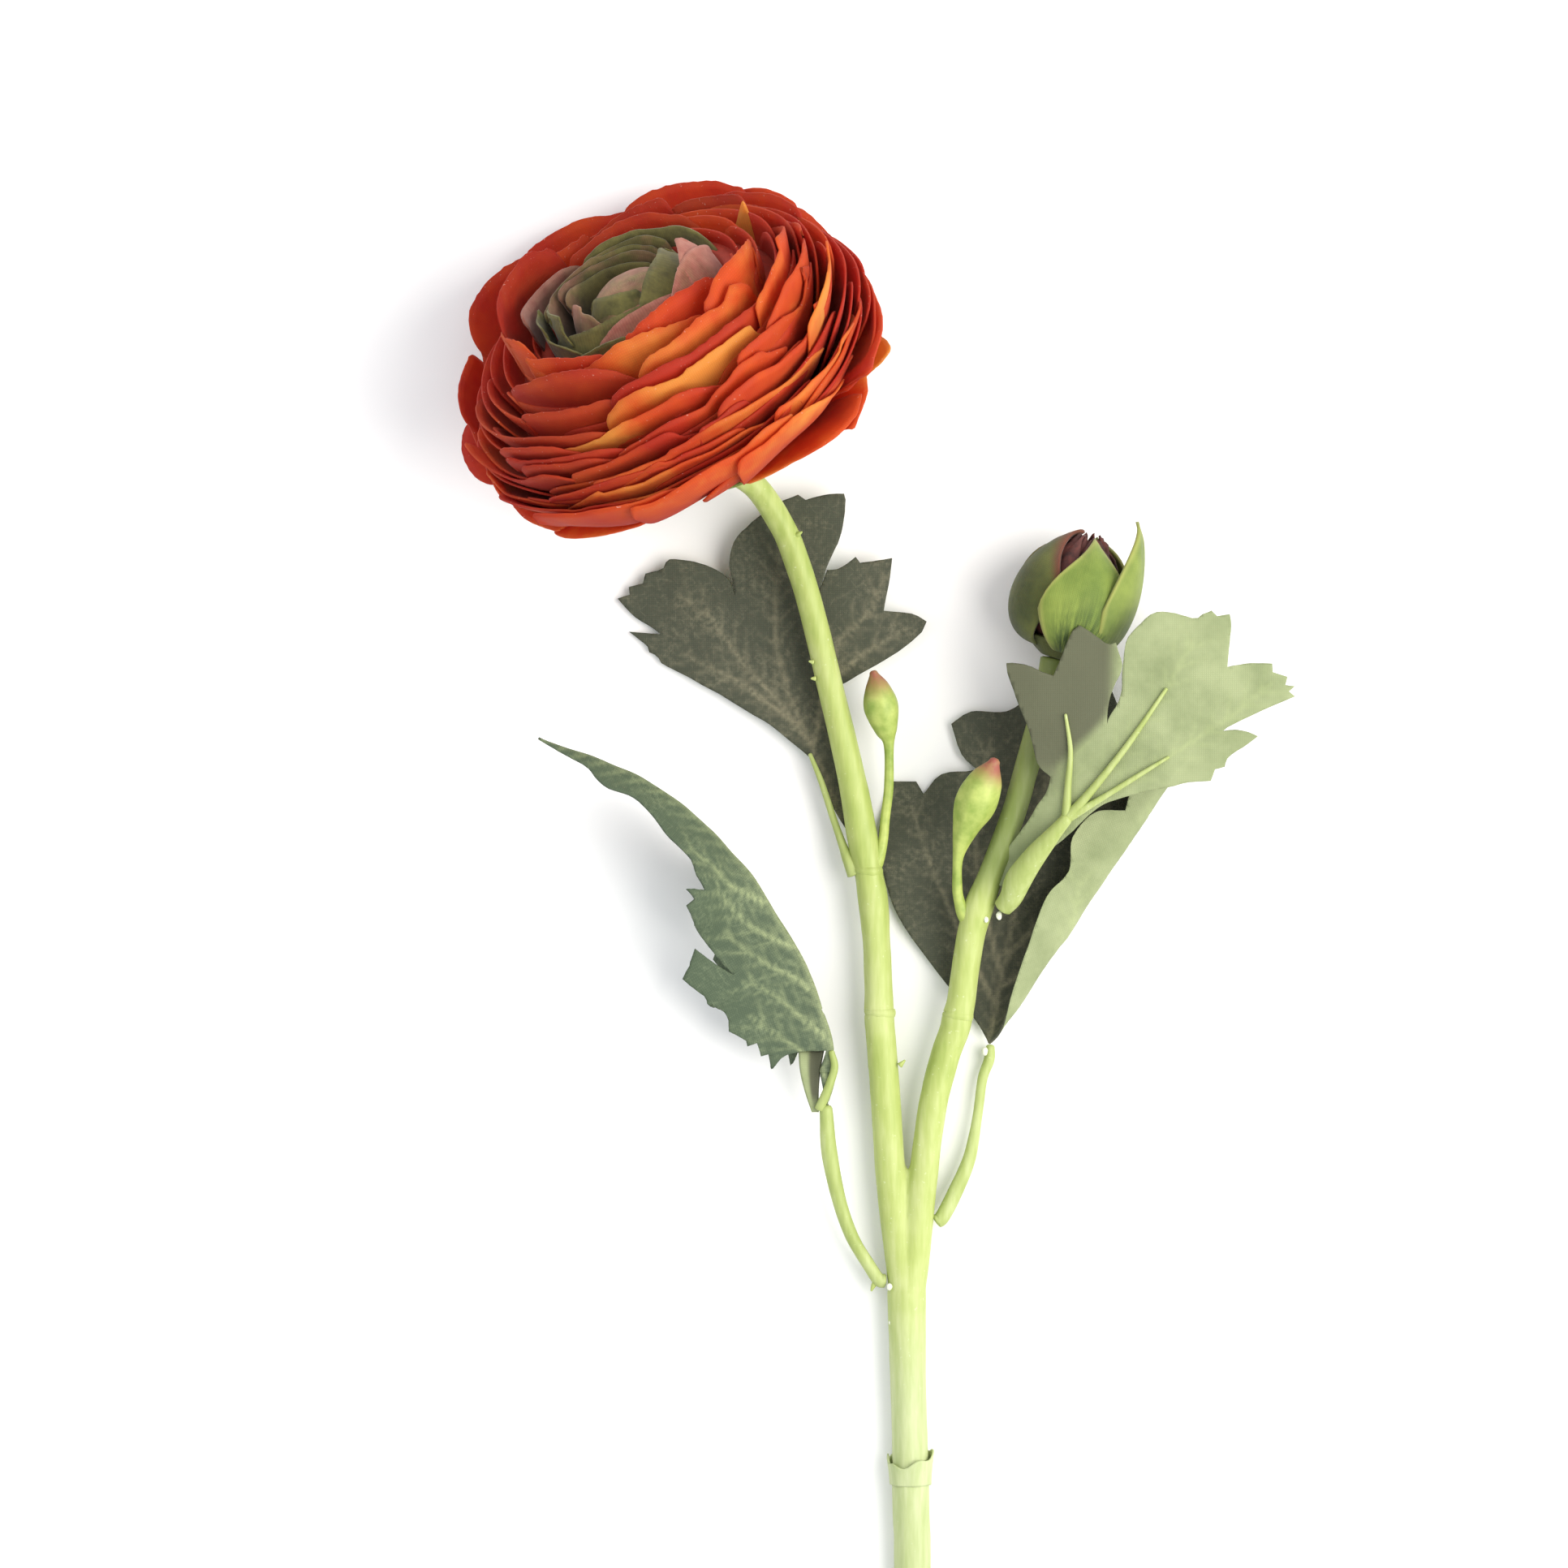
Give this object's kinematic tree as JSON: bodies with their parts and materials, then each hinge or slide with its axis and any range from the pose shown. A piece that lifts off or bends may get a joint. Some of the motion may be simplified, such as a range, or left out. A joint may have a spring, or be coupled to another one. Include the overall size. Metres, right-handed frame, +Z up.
{
  "type": "artificial ranunculus spray",
  "caption": "Cut spray of artificial ranunculus lying on a surface: one full layered bloom, a large green bud, small buds and lobed leaves on a forked stem.",
  "frame": {"origin": "on the surface that the spray lies on, under the middle of its box", "axes": "+Y from the cut end of the stem to the bloom, +Z up from the surface, +X towards the large bud"},
  "size_m": [0.1612, 0.356, 0.0739],
  "materials": {
    "stem": "satin moulded plastic, yellow-green with paler streaks",
    "small_bud": "matte moulded plastic, green with a reddish tip",
    "leaf": "fine matte woven cloth, dark olive above and pale sage below",
    "petal": "fine matte woven cloth, orange-red with golden blotches and frayed edges",
    "heart": "fine matte woven cloth, olive with mauve rims",
    "calyx": "matte green cloth",
    "sepal": "matte cloth, yellow-green with dark green streaks",
    "bud_core": "matte dark maroon cloth"
  },
  "bodies": {
    "root": {"stalk": "stem", "bloom_stem": "stem", "bud_stem": "stem", "small_bud_upper": "small_bud", "small_bud_lower": "small_bud", "leaf_upper_blade": "leaf", "leaf_upper_stalk": "stem", "leaf_left_blade": "leaf", "leaf_left_stalk": "stem", "leaf_back_blade": "leaf", "leaf_back_stalk": "stem", "leaf_front_blade": "leaf", "leaf_front_stalk": "stem", "bloom_petals": "petal", "bloom_heart": "heart", "calyx": "calyx", "bud_sepals": "sepal", "bud_petals": "bud_core"}
  },
  "joints": []
}
